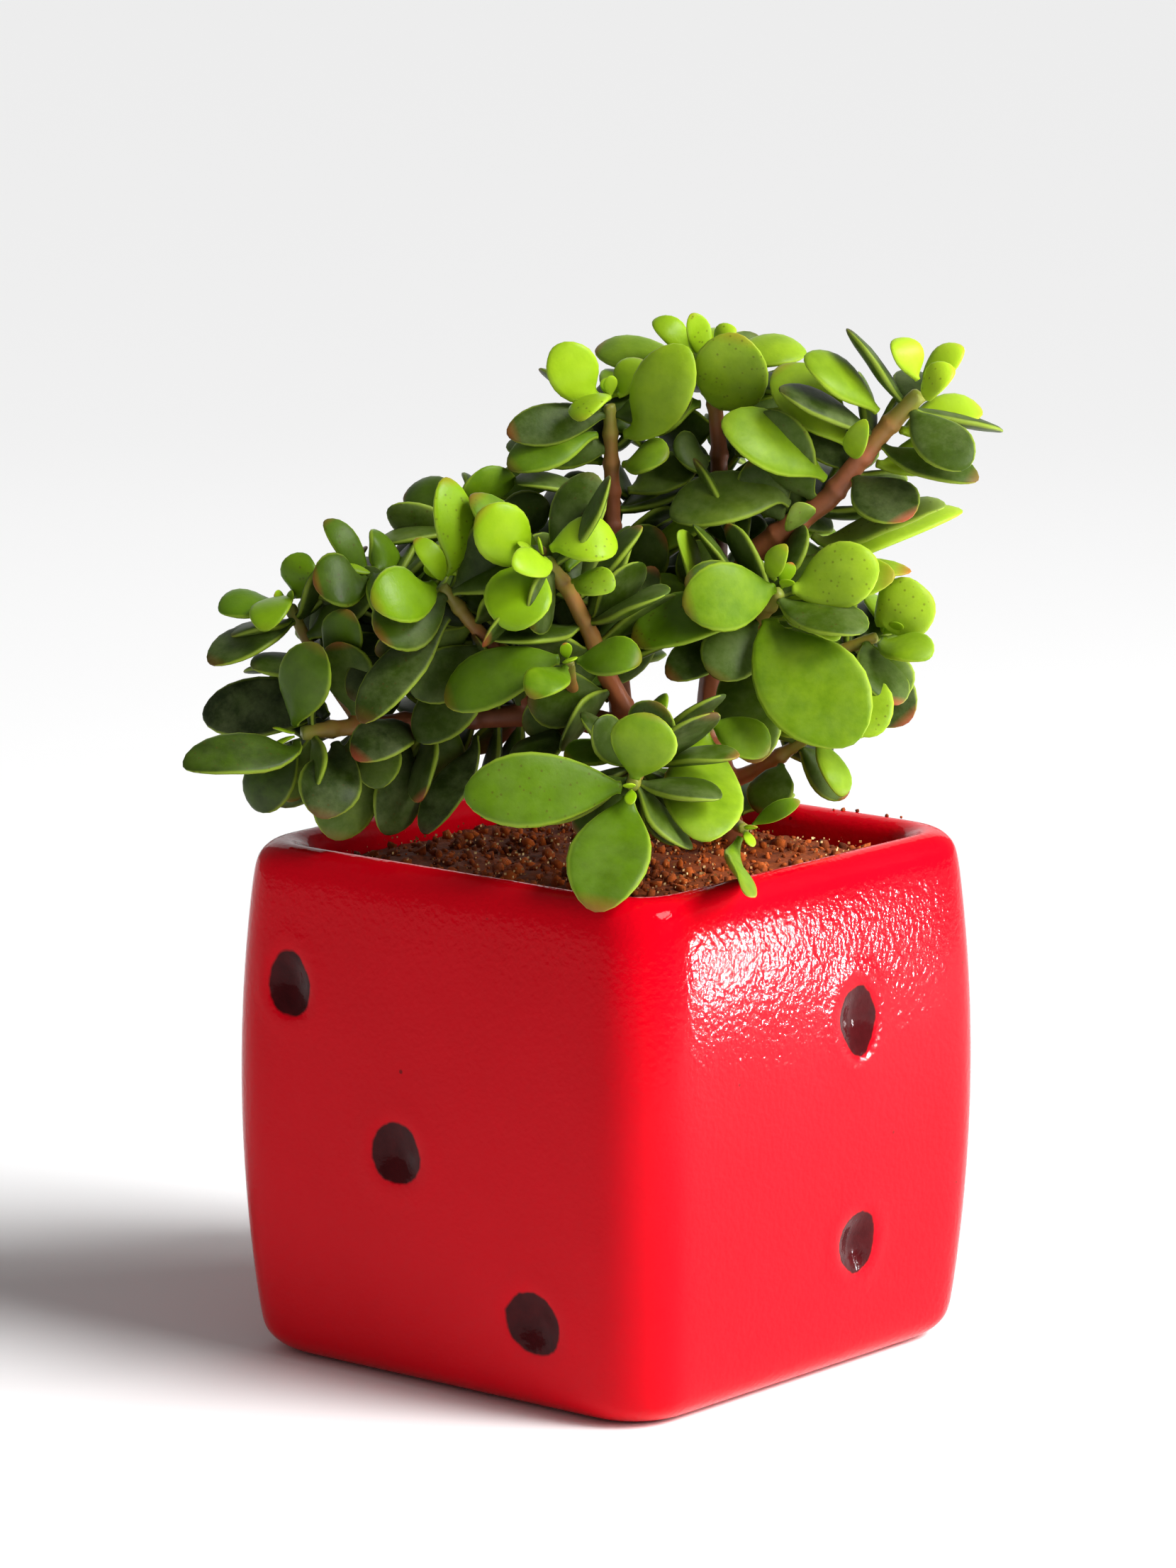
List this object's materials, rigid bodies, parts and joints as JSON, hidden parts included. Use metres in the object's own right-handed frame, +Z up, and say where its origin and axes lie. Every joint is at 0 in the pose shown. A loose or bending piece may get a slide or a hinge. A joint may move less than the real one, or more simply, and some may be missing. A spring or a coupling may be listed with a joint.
{
  "type": "potted jade plant",
  "caption": "Jade plant with plump oval leaves on a branching stem, rooted in coco peat in a glazed pot shaped like a rounded die.",
  "frame": {"origin": "centre of the pot's flat underside, on the surface that it stands on", "axes": "+Z up; the pot's faces look along X and Y, the face with the diagonal row of pips looks along -Y and the face with the upright pair of pips looks along +X"},
  "size_m": [0.1044, 0.11, 0.1723],
  "materials": {
    "red_glaze": "glossy red glaze with dark maroon pips",
    "coco_peat": "loose, moist, fibrous",
    "bark": "smooth reddish-brown young bark",
    "young_leaf": "waxy lime green",
    "mature_leaf": "waxy mid green",
    "old_leaf": "waxy grey green with a dusty bloom"
  },
  "bodies": {
    "root": {"pot": "red_glaze", "soil": "coco_peat", "stem": "bark", "leaves_middle_tip": "young_leaf", "leaves_middle_6": "mature_leaf", "leaves_middle_5": "mature_leaf", "leaves_middle_4": "old_leaf", "leaves_middle_3": "old_leaf", "leaves_middle_2": "mature_leaf", "leaves_middle_1": "old_leaf", "leaves_middle_0": "mature_leaf", "leaves_rear_tip": "young_leaf", "leaves_rear_5": "mature_leaf", "leaves_rear_4": "mature_leaf", "leaves_rear_3": "old_leaf", "leaves_rear_2": "old_leaf", "leaves_rear_1": "old_leaf", "leaves_right_tip": "young_leaf", "leaves_right_7": "mature_leaf", "leaves_right_6": "mature_leaf", "leaves_right_5": "mature_leaf", "leaves_right_4": "old_leaf", "leaves_right_3": "mature_leaf", "leaves_right_2": "mature_leaf", "leaves_right_1": "mature_leaf", "leaves_facing_tip": "mature_leaf", "leaves_facing_2": "mature_leaf", "leaves_facing_1": "old_leaf", "leaves_side_tip": "mature_leaf", "leaves_side_1": "mature_leaf", "leaves_low_tip": "mature_leaf", "leaves_low_1": "old_leaf", "leaves_front_tip": "mature_leaf", "leaves_front_1": "mature_leaf", "leaves_centre_tip": "mature_leaf", "leaves_bud_tip": "mature_leaf", "leaves_trailing_tip": "mature_leaf", "leaves_red_tip": "young_leaf", "leaves_red_2": "mature_leaf", "leaves_red_1": "mature_leaf", "leaves_olive_tip": "young_leaf", "leaves_olive_2": "old_leaf", "leaves_olive_1": "old_leaf", "leaves_shade_tip": "mature_leaf", "leaves_shade_2": "old_leaf", "leaves_shade_1": "old_leaf", "leaves_crown_tip": "mature_leaf", "leaves_crown_1": "old_leaf", "leaves_outer_tip": "young_leaf", "leaves_outer_1": "mature_leaf", "leaves_left_tip": "mature_leaf", "leaves_left_4": "old_leaf", "leaves_left_3": "old_leaf", "leaves_left_2": "old_leaf", "leaves_left_1": "old_leaf", "leaves_trunk_1": "old_leaf"}
  },
  "joints": []
}
